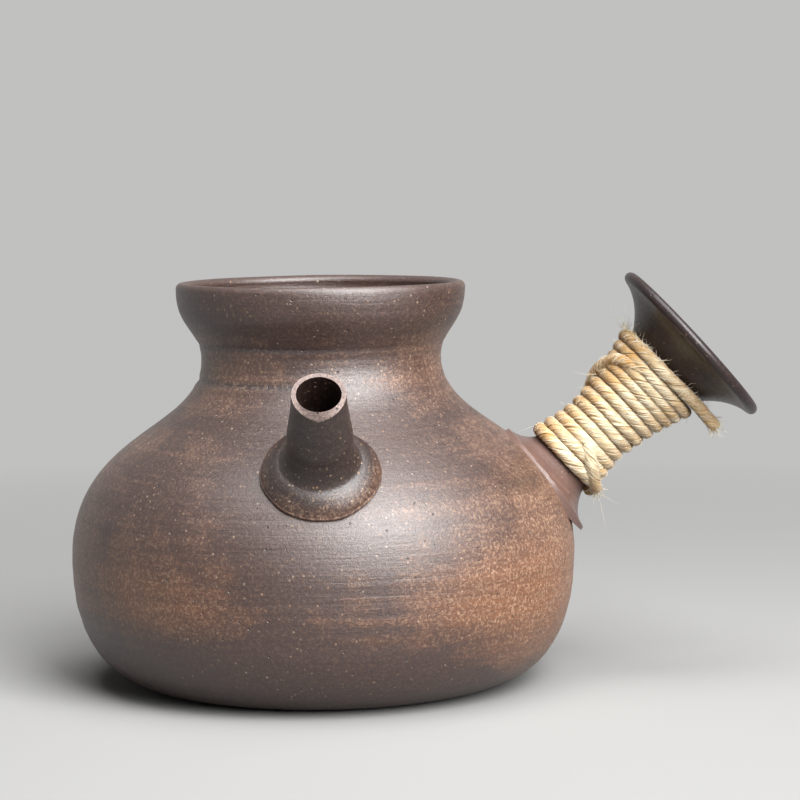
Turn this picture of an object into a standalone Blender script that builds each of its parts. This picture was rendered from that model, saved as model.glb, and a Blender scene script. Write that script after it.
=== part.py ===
"""Side-handle teapot: a thrown stoneware pot with an open flared rim.

The pot stands on the plane z = 0 with its axis on Z. The spout leans out towards -Y
and the trumpet-shaped handle, wound with cord, leans out towards +X.
Lengths are in metres.
"""
import math

import bmesh
import bpy
from mathutils import Matrix, Vector
from mathutils.bvhtree import BVHTree

# Clearance that each joined piece keeps to its neighbour
SEAM_GAP = 0.0003
# How far a cutter runs past what it cuts
CUT_OVERRUN = 0.004
# Points of a turned piece closer than this are one point
MERGE_DISTANCE = 0.00001

# Pot: its outer outline and its wall
FOOT_RADIUS = 0.0313
BELLY_RADIUS = 0.0525
BELLY_HEIGHT = 0.0271
NECK_RADIUS = 0.0250
NECK_HEIGHT = 0.0678
RIM_RADIUS = 0.0302
POT_HEIGHT = 0.0838
POT_WALL = 0.0035
POT_LIP = 0.0024

# Spout: a tube on a wide thin flange, its heights measured along its own axis
SPOUT_AT_HEIGHT = 0.0487
SPOUT_BEARING = math.radians(-0.6)
SPOUT_TILT = math.radians(45)
SPOUT_LENGTH = 0.0230
SPOUT_MOUTH_RADIUS = 0.0052
SPOUT_MOUTH_BORE_RADIUS = 0.0043
SPOUT_NECK_RADIUS = 0.0064
SPOUT_NECK_BORE_RADIUS = 0.0049
SPOUT_NECK_HEIGHT = 0.0105
SPOUT_DOME_RADIUS = 0.0082
SPOUT_DOME_HEIGHT = 0.0034
SPOUT_FLANGE_RADIUS = 0.0119
SPOUT_FLANGE_EDGE = 0.0010
SPOUT_SEAT_BORE_RADIUS = 0.0077
SPOUT_SEAT_DEPTH = 0.0020
SPOUT_LIP_BEVEL = 0.0019

# Strainer: a pierced dome inside the pot, over the hole behind the spout
SPOUT_HOLE_RADIUS = 0.0065
STRAINER_RADIUS = 0.0120
STRAINER_RISE = 0.0058
STRAINER_WALL = 0.0016
PIERCING_RADIUS = 0.00085
PIERCING_RING_ANGLE = math.radians(15)
PIERCINGS_IN_RINGS = (1, 6, 12)

# Handle: a hollow trumpet whose bell is its far end, its heights along its own axis
HANDLE_AT_HEIGHT = 0.0430
HANDLE_TILT = math.radians(42)
HANDLE_LENGTH = 0.0410
HANDLE_WALL = 0.0023
HANDLE_ROOT_RADIUS = 0.0092
HANDLE_ROOT_DEPTH = 0.0035
HANDLE_WAIST_RADIUS = 0.0054
HANDLE_WAIST_HEIGHT = 0.0130
HANDLE_THROAT_RADIUS = 0.0092
HANDLE_BELL_DEPTH = 0.0100
HANDLE_BELL_RADIUS = 0.0200

# Cord: one length wound round the handle, with a cut tail under the bell
CORD_DIAMETER = 0.00195
CORD_TURN_GAP = 0.00045
CORD_START_HEIGHT = 0.0034
CORD_END_BELOW_BELL_EDGE = 0.0090
CORD_START_ANGLE = math.radians(-15)
CORD_FRONT_ANGLE = math.radians(-90)
CORD_TAIL_LENGTH = 0.0120
CORD_POINTS_A_LOOP = 24

# Facets round each turned piece
POT_FACETS = 48
SPOUT_FACETS = 30
STRAINER_FACETS = 24
HANDLE_FACETS = 36
SPOUT_HOLE_FACETS = 24
PIERCING_FACETS = 8
# Steps along each curve of an outline, and round each lip
FOOT_STEPS = 8
SHOULDER_STEPS = 12
FLARE_STEPS = 6
HANDLE_ROOT_STEPS = 6
HANDLE_GRIP_STEPS = 6
HANDLE_BELL_STEPS = 8
SPOUT_TUBE_STEPS = 4
SPOUT_FILLET_STEPS = 6
SPOUT_DOME_STEPS = 5
SPOUT_SEAT_STEPS = 5
DOME_STEPS = 7
LIP_STEPS = 4

# Pulls of the outlines' curves, as shares of the run from one end to the other
FOOT_PULL_SHARES = (0.70, 0.38)
SHOULDER_PULL_SHARES = (0.64, 0.62)
FLARE_PULL_SHARES = (0.38, 0.45)
HANDLE_ROOT_PULL_SHARES = ((0.36, 0.36), (1.0, 0.60))
HANDLE_GRIP_PULL_SHARES = ((0.0, 0.25), (0.55, 0.80))
HANDLE_BELL_PULL_SHARES = ((0.18, 0.52), (0.62, 0.93))
SPOUT_TUBE_PULL_SHARES = ((0.12, 0.35), (0.88, 0.80))
SPOUT_FILLET_PULL_SHARES = ((0.0, 0.52), (0.25, 0.96))
SPOUT_DOME_PULL_SHARES = ((0.42, 0.10), (0.84, 0.50))
SPOUT_SEAT_PULL_SHARES = ((0.20, 0.20), (0.95, 0.45))
# Where the spout's inner seat begins to narrow, as a share of the dome's height
SEAT_NARROWING_SHARE = 0.15
# How far round the handle the cord's last, broken loop goes
CORD_LAST_LOOP_SHARE = 0.9
# How much of the cord's advance it makes on the side away from the front
CORD_BACK_ADVANCE_SHARE = 0.6


def clear_scene():
    for thing in list(bpy.data.objects):
        bpy.data.objects.remove(thing, do_unlink=True)


def new_collection(name):
    collection = bpy.data.collections.new(name)
    bpy.context.scene.collection.children.link(collection)
    return collection


def new_material(name, colour, roughness):
    material = bpy.data.materials.new(name)
    material.use_nodes = True
    shader = material.node_tree.nodes["Principled BSDF"]
    shader.inputs["Base Color"].default_value = (*colour, 1)
    shader.inputs["Roughness"].default_value = roughness
    shader.inputs["Metallic"].default_value = 0
    material.diffuse_color = (*colour, 1)
    return material


# Outlines: lists of (radius, height) that run upwards, the piece's axis on their left

def between(start, end, radius_share, height_share):
    radius = start[0] + (end[0] - start[0]) * radius_share
    height = start[1] + (end[1] - start[1]) * height_share
    return (radius, height)


def curve_on(points, end, pull_shares, steps):
    """Carries an outline on to a new end along a cubic curve."""
    start = points[-1]
    start_pull = between(start, end, *pull_shares[0])
    end_pull = between(start, end, *pull_shares[1])
    for index in range(1, steps + 1):
        t = index / steps
        weights = ((1 - t) ** 3, 3 * (1 - t) ** 2 * t, 3 * (1 - t) * t ** 2, t ** 3)
        corners = (start, start_pull, end_pull, end)
        radius = sum(weight * corner[0] for weight, corner in zip(weights, corners))
        height = sum(weight * corner[1] for weight, corner in zip(weights, corners))
        points.append((radius, height))
    return points


def offset_outline(points, distances):
    """The outline moved into its wall by a distance at each of its points."""
    moved = []
    last = len(points) - 1
    for index, (point, distance) in enumerate(zip(points, distances)):
        before = Vector(points[max(index - 1, 0)])
        after = Vector(points[min(index + 1, last)])
        along = (after - before).normalized()
        moved.append((point[0] - along.y * distance, point[1] + along.x * distance))
    return moved


def lip_arc(outer_end, inner_end):
    """The half round from the outer end of a wall over to the inner one, ends left out."""
    centre = (Vector(outer_end) + Vector(inner_end)) / 2
    arm = Vector(outer_end) - centre
    onward = Vector((-arm.y, arm.x))
    points = []
    for index in range(1, LIP_STEPS):
        angle = math.pi * index / LIP_STEPS
        points.append(tuple(centre + arm * math.cos(angle) + onward * math.sin(angle)))
    return points


def radius_at(outline, height):
    """The radius of an outline at a height that it passes."""
    for low, high in zip(outline, outline[1:]):
        if low[1] <= height <= high[1]:
            share = (height - low[1]) / (high[1] - low[1])
            return low[0] + (high[0] - low[0]) * share
    raise ValueError("the outline doesn't reach this height")


def pot_outer_outline():
    """The pot's outer side, from the edge of its flat base up to its lip."""
    belly = (BELLY_RADIUS, BELLY_HEIGHT)
    neck = (NECK_RADIUS, NECK_HEIGHT)
    lip = (RIM_RADIUS, POT_HEIGHT - POT_LIP / 2)
    foot_out, belly_down = FOOT_PULL_SHARES
    belly_up, neck_down = SHOULDER_PULL_SHARES
    neck_up, lip_down = FLARE_PULL_SHARES
    points = [(FOOT_RADIUS, 0)]
    curve_on(points, belly, ((foot_out, 0), (1, belly_down)), FOOT_STEPS)
    curve_on(points, neck, ((0, belly_up), (1, neck_down)), SHOULDER_STEPS)
    curve_on(points, lip, ((0, neck_up), (1, lip_down)), FLARE_STEPS)
    return points


def pot_inner_outline(outer, clearance):
    """The inside of the pot's wall, which thins from the neck up to the lip, moved in.

    It has a point for every second one of the outside.
    """
    distances = []
    for radius, height in outer:
        thinning = max(0, height - NECK_HEIGHT) / (POT_HEIGHT - NECK_HEIGHT)
        distances.append(POT_WALL + (POT_LIP - POT_WALL) * thinning + clearance)
    return offset_outline(outer, distances)[::2]


def handle_outer_outline():
    """The handle's outer side, from inside its seat up to the edge of its bell."""
    waist = (HANDLE_WAIST_RADIUS, HANDLE_WAIST_HEIGHT)
    throat = (HANDLE_THROAT_RADIUS, HANDLE_LENGTH - HANDLE_BELL_DEPTH)
    bell = (HANDLE_BELL_RADIUS - HANDLE_WALL / 2, HANDLE_LENGTH - HANDLE_WALL)
    points = [(HANDLE_ROOT_RADIUS, -HANDLE_ROOT_DEPTH)]
    curve_on(points, waist, HANDLE_ROOT_PULL_SHARES, HANDLE_ROOT_STEPS)
    curve_on(points, throat, HANDLE_GRIP_PULL_SHARES, HANDLE_GRIP_STEPS)
    curve_on(points, bell, HANDLE_BELL_PULL_SHARES, HANDLE_BELL_STEPS)
    return points


def spout_outline():
    """The spout's whole wall: down its outside, then up its bore."""
    neck = (SPOUT_NECK_RADIUS, SPOUT_NECK_HEIGHT)
    dome = (SPOUT_DOME_RADIUS, SPOUT_DOME_HEIGHT)
    flange = (SPOUT_FLANGE_RADIUS, SPOUT_FLANGE_EDGE)
    bore = (SPOUT_NECK_BORE_RADIUS, SPOUT_NECK_HEIGHT)
    points = [(SPOUT_MOUTH_RADIUS, SPOUT_LENGTH)]
    curve_on(points, neck, SPOUT_TUBE_PULL_SHARES, SPOUT_TUBE_STEPS)
    curve_on(points, dome, SPOUT_FILLET_PULL_SHARES, SPOUT_FILLET_STEPS)
    curve_on(points, flange, SPOUT_DOME_PULL_SHARES, SPOUT_DOME_STEPS)
    points.append((SPOUT_FLANGE_RADIUS, -SPOUT_SEAT_DEPTH))
    points.append((SPOUT_SEAT_BORE_RADIUS, -SPOUT_SEAT_DEPTH))
    points.append((SPOUT_SEAT_BORE_RADIUS, SPOUT_DOME_HEIGHT * SEAT_NARROWING_SHARE))
    curve_on(points, bore, SPOUT_SEAT_PULL_SHARES, SPOUT_SEAT_STEPS)
    points.append((SPOUT_MOUTH_BORE_RADIUS, SPOUT_LENGTH))
    return points


def dome_outline():
    """A half ball's wall: out from its top, then back along its inside."""
    inner_radius = STRAINER_RADIUS - STRAINER_WALL
    outer = []
    inner = []
    for index in range(DOME_STEPS + 1):
        angle = math.pi / 2 * index / DOME_STEPS
        outer.append((STRAINER_RADIUS * math.sin(angle), STRAINER_RADIUS * math.cos(angle)))
        inner.append((inner_radius * math.sin(angle), inner_radius * math.cos(angle)))
    return outer + inner[::-1]


# Making objects

def turned_object(name, outline, facets, closed, collection):
    """Turns an outline once round Z. It runs down its outer side."""
    mesh = bpy.data.meshes.new(name)
    corners = [(radius, 0, height) for radius, height in outline]
    edges = [(index, index + 1) for index in range(len(corners) - 1)]
    if closed:
        edges.append((len(corners) - 1, 0))
    mesh.from_pydata(corners, edges, [])
    turned = bpy.data.objects.new(name, mesh)
    collection.objects.link(turned)
    screw = turned.modifiers.new("turn", "SCREW")
    screw.axis = "Z"
    screw.angle = math.tau
    screw.steps = facets
    screw.render_steps = facets
    screw.use_merge_vertices = True
    screw.merge_threshold = MERGE_DISTANCE
    screw.use_smooth_shade = True
    return turned


def apply_modifiers(thing):
    """Gives an object the mesh that its modifiers make."""
    depsgraph = bpy.context.evaluated_depsgraph_get()
    mesh = bpy.data.meshes.new_from_object(thing.evaluated_get(depsgraph))
    outline = thing.data
    thing.modifiers.clear()
    thing.data = mesh
    bpy.data.meshes.remove(outline)
    mesh.name = thing.name


def make_cutter(thing):
    thing.hide_render = True
    thing.display_type = "WIRE"
    return thing


def cut_with(piece, cutter, operation):
    boolean = piece.modifiers.new(cutter.name, "BOOLEAN")
    boolean.operation = operation
    boolean.solver = "EXACT"
    boolean.object = cutter


def axis_empty(name, location, rotation, collection):
    empty = bpy.data.objects.new(name, None)
    empty.location = location
    empty.rotation_euler = rotation
    empty.empty_display_size = SPOUT_LENGTH
    collection.objects.link(empty)
    return empty


def stopper(name, outline, collection):
    """A solid turned from an outline that runs upwards, closed level at both ends."""
    top = outline[-1][1]
    bottom = outline[0][1]
    whole = [(0, top)] + outline[::-1] + [(0, bottom)]
    return make_cutter(turned_object(name, whole, POT_FACETS, False, collection))


def build_pot(outer, hole, collection):
    inner = pot_inner_outline(outer, 0)
    lip = lip_arc(outer[-1], inner[-1])
    floor = inner[0][1]
    outline = [(0, floor)] + inner + lip[::-1] + outer[::-1] + [(0, 0)]
    pot = turned_object("pot_body", outline, POT_FACETS, False, collection)
    cut_with(pot, hole, "DIFFERENCE")
    return pot


def build_spout_hole(axis, collection):
    """The cutter of the hole through the pot's wall behind the spout."""
    depth = 2 * (POT_WALL + CUT_OVERRUN)
    mesh = bpy.data.meshes.new("spout_hole_cutter")
    cylinder = bmesh.new()
    bmesh.ops.create_cone(cylinder, cap_ends=True, segments=SPOUT_HOLE_FACETS,
                          radius1=SPOUT_HOLE_RADIUS, radius2=SPOUT_HOLE_RADIUS, depth=depth)
    cylinder.to_mesh(mesh)
    cylinder.free()
    hole = bpy.data.objects.new("spout_hole_cutter", mesh)
    hole.parent = axis
    collection.objects.link(hole)
    return make_cutter(hole)


def seat_heights(axis, envelope):
    """A function of a place across the axis that gives the pot's height under it."""
    bpy.context.view_layer.update()
    depsgraph = bpy.context.evaluated_depsgraph_get()
    surface = BVHTree.FromObject(envelope, depsgraph)
    down = axis.matrix_world.to_3x3() @ Vector((0, 0, -1))

    def height(x, y):
        start = axis.matrix_world @ Vector((x, y, SPOUT_LENGTH))
        distance = surface.ray_cast(start, down)[3]
        return SPOUT_LENGTH - distance

    return height


def build_spout(axis, envelope, collection):
    """The spout, its flange bent to the shoulder and its mouth cut back underneath."""
    spout = turned_object("spout", spout_outline(), SPOUT_FACETS, True, collection)
    apply_modifiers(spout)
    height = seat_heights(axis, envelope)
    middle = height(0, 0)
    mouth_middle = (SPOUT_MOUTH_RADIUS + SPOUT_MOUTH_BORE_RADIUS) / 2
    for vertex in spout.data.vertices:
        x, y, z = vertex.co
        rise = min(1, max(0, z - SPOUT_FLANGE_EDGE) / (SPOUT_NECK_HEIGHT - SPOUT_FLANGE_EDGE))
        follow = 1 - rise * rise * (3 - 2 * rise)
        if follow > 0:
            vertex.co.z += follow * (height(x, y) - middle)
        radius = math.hypot(x, y)
        if z > SPOUT_LENGTH - SEAM_GAP and radius > mouth_middle:
            underneath = max(0, -y / radius)
            vertex.co.z -= SPOUT_LIP_BEVEL * underneath ** 2
    spout.data.shade_smooth()
    spout.data.set_sharp_from_angle(angle=math.radians(50))
    spout.parent = axis
    cut_with(spout, envelope, "DIFFERENCE")
    return spout


def build_piercings(collection):
    """The cutter of the strainer's holes, which point to the middle of its ball."""
    pins = bmesh.new()
    for ring, count in enumerate(PIERCINGS_IN_RINGS):
        for index in range(count):
            turn = Matrix.Rotation(math.tau * index / count, 4, "Z")
            lean = Matrix.Rotation(PIERCING_RING_ANGLE * ring, 4, "X")
            lift = Matrix.Translation((0, 0, STRAINER_RADIUS - STRAINER_WALL / 2))
            bmesh.ops.create_cone(pins, cap_ends=True, segments=PIERCING_FACETS,
                                  radius1=PIERCING_RADIUS, radius2=PIERCING_RADIUS,
                                  depth=STRAINER_WALL * 2, matrix=turn @ lean @ lift)
    mesh = bpy.data.meshes.new("piercing_cutter")
    pins.to_mesh(mesh)
    pins.free()
    piercings = bpy.data.objects.new("piercing_cutter", mesh)
    collection.objects.link(piercings)
    return make_cutter(piercings)


def build_strainer(axis, cavity, parts, cutters):
    """The pierced dome, its edge cut to the inside of the pot's wall."""
    strainer = turned_object("strainer", dome_outline(), STRAINER_FACETS, False, parts)
    piercings = build_piercings(cutters)
    for thing in (strainer, piercings):
        thing.parent = axis
        thing.location.z = STRAINER_RADIUS - STRAINER_RISE - POT_WALL
        thing.rotation_euler = (math.pi, 0, 0)
    cut_with(strainer, cavity, "INTERSECT")
    cut_with(strainer, piercings, "DIFFERENCE")
    return strainer


def build_handle(axis, outer, envelope, collection):
    inner = offset_outline(outer, [HANDLE_WALL] * len(outer))[::2]
    lip = lip_arc(outer[-1], inner[-1])
    outline = outer[::-1] + inner + lip[::-1]
    handle = turned_object("handle", outline, HANDLE_FACETS, True, collection)
    handle.parent = axis
    cut_with(handle, envelope, "DIFFERENCE")
    return handle


def winding_points(handle_outer):
    """The middle line of the cord: straight start, even loops, straight tail."""
    reach = SEAM_GAP + CORD_DIAMETER / 2
    seat = offset_outline(handle_outer, [-reach] * len(handle_outer))
    climb = HANDLE_LENGTH - CORD_END_BELOW_BELL_EDGE - CORD_START_HEIGHT
    whole_loops = round(climb / (CORD_DIAMETER + CORD_TURN_GAP) - CORD_LAST_LOOP_SHARE)
    all_turns = math.tau * (whole_loops + CORD_LAST_LOOP_SHARE)
    rise = climb / all_turns
    count = round(all_turns / math.tau * CORD_POINTS_A_LOOP)
    loops = []
    for index in range(count + 1):
        turn = all_turns * index / count
        angle = CORD_START_ANGLE + turn
        lag = math.sin(angle - CORD_FRONT_ANGLE) * CORD_BACK_ADVANCE_SHARE
        height = CORD_START_HEIGHT + rise * (turn - lag)
        radius = radius_at(seat, height)
        loops.append(Vector((radius * math.cos(angle), radius * math.sin(angle), height)))
    start = loops[0] + (loops[0] - loops[1]).normalized() * CORD_DIAMETER
    tail_way = (loops[-1] - loops[-2]).normalized()
    tail_steps = 4
    tail = []
    for index in range(1, tail_steps + 1):
        tail.append(loops[-1] + tail_way * CORD_TAIL_LENGTH * index / tail_steps)
    return [start] + loops + tail


def least_gap(points):
    """The least space between two parts of the cord more than half a loop apart."""
    apart = CORD_POINTS_A_LOOP // 2
    least = CORD_TAIL_LENGTH
    for index, point in enumerate(points):
        for other in points[index + apart:]:
            least = min(least, (point - other).length)
    return least - CORD_DIAMETER


def build_cord(axis, handle_outer, collection):
    points = winding_points(handle_outer)
    curve = bpy.data.curves.new("handle_cord", "CURVE")
    curve.dimensions = "3D"
    curve.bevel_depth = CORD_DIAMETER / 2
    curve.bevel_resolution = 1
    curve.use_fill_caps = True
    spline = curve.splines.new("POLY")
    spline.points.add(len(points) - 1)
    for target, point in zip(spline.points, points):
        target.co = (*point, 1)
    cord = bpy.data.objects.new("handle_cord", curve)
    cord.parent = axis
    collection.objects.link(cord)
    print("cord: least gap to itself %.2f mm" % (least_gap(points) * 1000))
    return cord


def build_teapot():
    clear_scene()
    parts = new_collection("side_handle_teapot")
    cutters = new_collection("cutters")

    pot_outer = pot_outer_outline()
    shoulder = pot_outer[FOOT_STEPS:]
    spout_seat = radius_at(shoulder, SPOUT_AT_HEIGHT)
    spout_place = Matrix.Rotation(SPOUT_BEARING, 3, "Z") @ Vector((0, -spout_seat, SPOUT_AT_HEIGHT))
    spout_axis = axis_empty("spout_axis", spout_place,
                            (math.pi / 2 - SPOUT_TILT, 0, SPOUT_BEARING), parts)
    handle_seat = radius_at(shoulder, HANDLE_AT_HEIGHT)
    handle_axis = axis_empty("handle_axis", (handle_seat, 0, HANDLE_AT_HEIGHT),
                             (0, math.pi / 2 - HANDLE_TILT, 0), parts)

    grown = offset_outline(pot_outer, [-SEAM_GAP] * len(pot_outer))
    envelope = stopper("pot_envelope", grown, cutters)
    cavity = stopper("pot_cavity", pot_inner_outline(pot_outer, SEAM_GAP), cutters)

    hole = build_spout_hole(spout_axis, cutters)
    handle_outer = handle_outer_outline()
    pot = build_pot(pot_outer, hole, parts)
    spout = build_spout(spout_axis, envelope, parts)
    strainer = build_strainer(spout_axis, cavity, parts, cutters)
    handle = build_handle(handle_axis, handle_outer, envelope, parts)
    cord = build_cord(handle_axis, handle_outer, parts)

    stoneware = new_material("brown_stoneware", (0.15, 0.085, 0.065), 0.6)
    dark_stoneware = new_material("dark_stoneware", (0.07, 0.045, 0.045), 0.5)
    jute = new_material("jute_cord", (0.72, 0.54, 0.30), 0.95)
    materials = ((pot, stoneware), (spout, stoneware), (strainer, stoneware),
                 (handle, dark_stoneware), (cord, jute))
    for piece, material in materials:
        piece.data.materials.append(material)


build_teapot()
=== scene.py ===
"""Looks of the side-handle teapot: grogged brown stoneware and a handle wound with jute cord.

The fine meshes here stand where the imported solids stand, in the same frame and in metres:
the pot's axis is Z, the spout leans out towards -Y and the handle towards +X.
"""
import math
import random

import bmesh
import bpy
import numpy as np
from mathutils import Matrix, Vector, noise
from mathutils.bvhtree import BVHTree


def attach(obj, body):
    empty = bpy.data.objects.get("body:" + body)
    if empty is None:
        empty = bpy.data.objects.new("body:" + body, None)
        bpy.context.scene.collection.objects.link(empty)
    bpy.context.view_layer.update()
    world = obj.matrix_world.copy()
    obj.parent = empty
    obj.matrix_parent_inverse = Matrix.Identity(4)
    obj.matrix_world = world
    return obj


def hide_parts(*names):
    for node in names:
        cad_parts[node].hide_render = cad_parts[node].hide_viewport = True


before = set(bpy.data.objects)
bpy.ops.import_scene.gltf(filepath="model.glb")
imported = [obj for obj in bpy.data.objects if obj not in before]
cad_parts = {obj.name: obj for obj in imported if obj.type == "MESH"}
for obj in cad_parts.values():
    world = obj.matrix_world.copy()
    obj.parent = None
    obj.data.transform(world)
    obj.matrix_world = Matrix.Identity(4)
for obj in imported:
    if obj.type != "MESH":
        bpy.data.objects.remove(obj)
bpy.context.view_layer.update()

MM = 0.001
MERGE_DISTANCE = 0.000001

# Pot
FOOT_RADIUS = 0.0313
BELLY_RADIUS = 0.0525
BELLY_HEIGHT = 0.0271
NECK_RADIUS = 0.0250
NECK_HEIGHT = 0.0678
RIM_RADIUS = 0.0302
POT_HEIGHT = 0.0838
POT_WALL = 0.0035
POT_LIP = 0.0024
FOOT_PULL_SHARES = (0.70, 0.38)
SHOULDER_PULL_SHARES = (0.64, 0.62)
FLARE_PULL_SHARES = (0.38, 0.45)
# Two rings that the thrower's rib left, and the ledge under the lower one
NECK_GROOVE_HEIGHT = 0.0709
SHOULDER_CREASE_HEIGHT = 0.0634
GROOVE_WIDTH = 0.0006
GROOVE_DEPTH = 0.00022
CREASE_DEPTH = 0.00030
LEDGE_DEPTH = 0.00010
# Unevenness of the clay: how far it stands out, and over what height it changes
WOBBLE = (0.00022, 0.030)
BANDS = (0.00005, 0.0028)
LINES = (0.00003, 0.0014)
INNER_WOBBLE = (0.00010, 0.0040)
SETTLED_HEIGHT = 0.004
LOW_DOWN = (0.012, 0.040)
RIM_DIP = 0.00016
RIM_INSET = 0.00012
LIP_SQUARENESS = 2.6
POT_FOOT_STEPS = 46
POT_SHOULDER_STEPS = 74
POT_FLARE_STEPS = 44
POT_LIP_STEPS = 12
POT_INNER_STRIDE = 3
POT_FACETS = 420

# Spout, its heights along its own axis
SPOUT_BEARING = math.radians(-0.6)
SPOUT_TILT = math.radians(45)
SPOUT_AT_HEIGHT = 0.0487
SPOUT_LENGTH = 0.0230
SPOUT_MOUTH_RADIUS = 0.0052
SPOUT_MOUTH_BORE_RADIUS = 0.0043
SPOUT_NECK_RADIUS = 0.0064
SPOUT_NECK_BORE_RADIUS = 0.0049
SPOUT_NECK_HEIGHT = 0.0105
SPOUT_DOME_RADIUS = 0.0082
SPOUT_DOME_HEIGHT = 0.0034
SPOUT_FLANGE_RADIUS = 0.0119
SPOUT_FLANGE_EDGE = 0.0010
SPOUT_SEAT_BORE_RADIUS = 0.0077
SPOUT_SINK = 0.0002
SPOUT_LIP_BEVEL = 0.0019
SPOUT_LIP_BEVEL_DEPTH = 0.0060
SPOUT_LIP_BEVEL_ANGLE = math.radians(80)
SPOUT_TUBE_PULL_SHARES = ((0.12, 0.35), (0.88, 0.80))
SPOUT_FILLET_PULL_SHARES = ((0.0, 0.52), (0.25, 0.96))
SPOUT_DOME_PULL_SHARES = ((0.42, 0.10), (0.84, 0.50))
SPOUT_SEAT_PULL_SHARES = ((0.20, 0.20), (0.95, 0.45))
SPOUT_MOUTH_UNEVENNESS = (0.00006, 0.0006)
SPOUT_TUBE_UNEVENNESS = (0.00006, 0.0016)
SPOUT_FLANGE_UNEVENNESS = 0.00022
SPOUT_FACETS = 160

# Strainer behind the spout
SPOUT_HOLE_RADIUS = 0.0065
STRAINER_RADIUS = 0.0120
STRAINER_RISE = 0.0058
STRAINER_WALL = 0.0016
STRAINER_SINK = 0.0005
PIERCING_RADIUS = 0.00085
PIERCING_RING_ANGLE = math.radians(15)
PIERCINGS_IN_RINGS = (1, 6, 12)
STRAINER_STEPS = 24
STRAINER_FACETS = 96
CAVITY_FACETS = 192
PIN_FACETS = 24

# Handle, its heights along its own axis
HANDLE_AT_HEIGHT = 0.0430
HANDLE_TILT = math.radians(42)
HANDLE_LENGTH = 0.0410
HANDLE_WALL = 0.0023
HANDLE_ROOT_RADIUS = 0.0092
HANDLE_ROOT_DEPTH = 0.0035
HANDLE_WAIST_RADIUS = 0.0054
HANDLE_WAIST_HEIGHT = 0.0130
HANDLE_THROAT_RADIUS = 0.0092
HANDLE_BELL_DEPTH = 0.0100
HANDLE_BELL_RADIUS = 0.0200
HANDLE_ROOT_PULL_SHARES = ((0.36, 0.36), (1.0, 0.60))
HANDLE_GRIP_PULL_SHARES = ((0.0, 0.25), (0.55, 0.80))
HANDLE_BELL_PULL_SHARES = ((0.18, 0.52), (0.62, 0.93))
HANDLE_UNEVENNESS = (0.00007, 0.0030)
LUTING_FILLET = 0.0042
HANDLE_STEPS = 34
# The root has more rows, so that the fillet follows the pot closely
HANDLE_ROOT_STEPS = 84
HANDLE_LIP_STEPS = 8
HANDLE_FACETS = 176

# Cord. Its turns cross the front of the handle at these heights along the handle's axis.
FRONT_CROSSINGS = (0.0048, 0.00745, 0.0098, 0.0123, 0.0150, 0.0175, 0.0201, 0.0226, 0.0248,
                   0.0267, 0.0288, 0.0312)
CORD_START_HEIGHT = 0.0036
CORD_START_ANGLE = math.radians(-15)
CORD_FRONT_ANGLE = math.radians(-90)
CORD_LEAVES_AT_ANGLE = math.radians(-51)
CORD_BACK_ADVANCE_SHARE = 0.6
CORD_WANDER = 0.00026
CORD_TAIL_RISE = 0.0005
CORD_TAIL_SAG_SHARES = (0.12, 0.02, -0.06)
CORD_TAIL_LENGTH = 0.0101
CORD_RADIUS = 0.00128
PLY_OFFSET = 0.00058
PLY_FLAT = 0.00074
PLY_PITCH = 0.0088
PLY_SIDES = 28
PLY_RIDGES = 7
CORD_STEP = 0.00046
# Lengths along a ply over which its swelling, its sides and its roughness change
PLY_SWELL_LENGTH = 0.0045
PLY_DRIFT_LENGTH = 0.005
PLY_ROUGH_LENGTH = 0.0012
CORD_END_SHARE = 0.8
CORD_TAPER = 0.0008
STRAND_TAPER = 0.0010
# The strand at the cord's start and the one that crosses its turns: the height, the degrees
# round the handle and the lift in cord diameters of each point
START_MARKS = ((0.0098, -92, 0.60), (0.0088, -80, 0.92), (0.0075, -66, 1.06), (0.0062, -50, 1.08),
               (0.0052, -34, 1.04), (0.0045, -18, 1.00))
CROSSING_MARKS = ((0.0155, 118, 0.50), (0.0172, 140, 0.76), (0.0196, 160, 0.92),
                  (0.0222, 178, 0.96), (0.0246, 196, 0.92), (0.0262, 212, 0.84),
                  (0.0274, 230, 0.70), (0.0282, 248, 0.50))

# Fibres that lie on the three cords: how many, and the ranges of their measures
LYING_COUNTS = (1150, 34, 76)
LYING_LENGTHS = (0.0025, 0.0070)
LYING_LIFTS = ((0.0, 0.00012), (-0.00001, 0.00006), (0.00002, 0.00024))
LYING_RADII = (0.00003, 0.00006)
# Fibres that stand out: how many, the range of their lengths, their curl, the range of radii
STRAYS = (260, (0.0010, 0.0034), 0.24, (0.000014, 0.000030))
BESIDE_BELL = (280, (0.0012, 0.0042), 0.30, (0.000026, 0.000050))
END_TUFT = (110, (0.0014, 0.0028), 0.12, (0.00004, 0.00008))
BELL_FIBRE_RISE = 0.0003
TUFT_SPREAD = 0.0005
TUFT_DEPTH = 0.0012
LONG_RADIUS = 0.000032
FIBRE_STEPS = 9
FIBRE_SIDES = 3
# Each long loose fibre: its way up the handle and to its lower side, the height and the degrees
# round the handle where it starts, and its length
LONG_FIBRES = (((-0.25, 0.9), 0.0040, -25, 0.0090), ((0.5, 0.8), 0.0040, -15, 0.0060),
               ((-1.0, -0.2), 0.0060, 170, 0.0060), ((-0.6, -0.8), 0.0210, 190, 0.0055),
               ((0.7, -0.7), 0.0310, 200, 0.0070), ((0.2, -0.9), 0.0310, 170, 0.0060))

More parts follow.
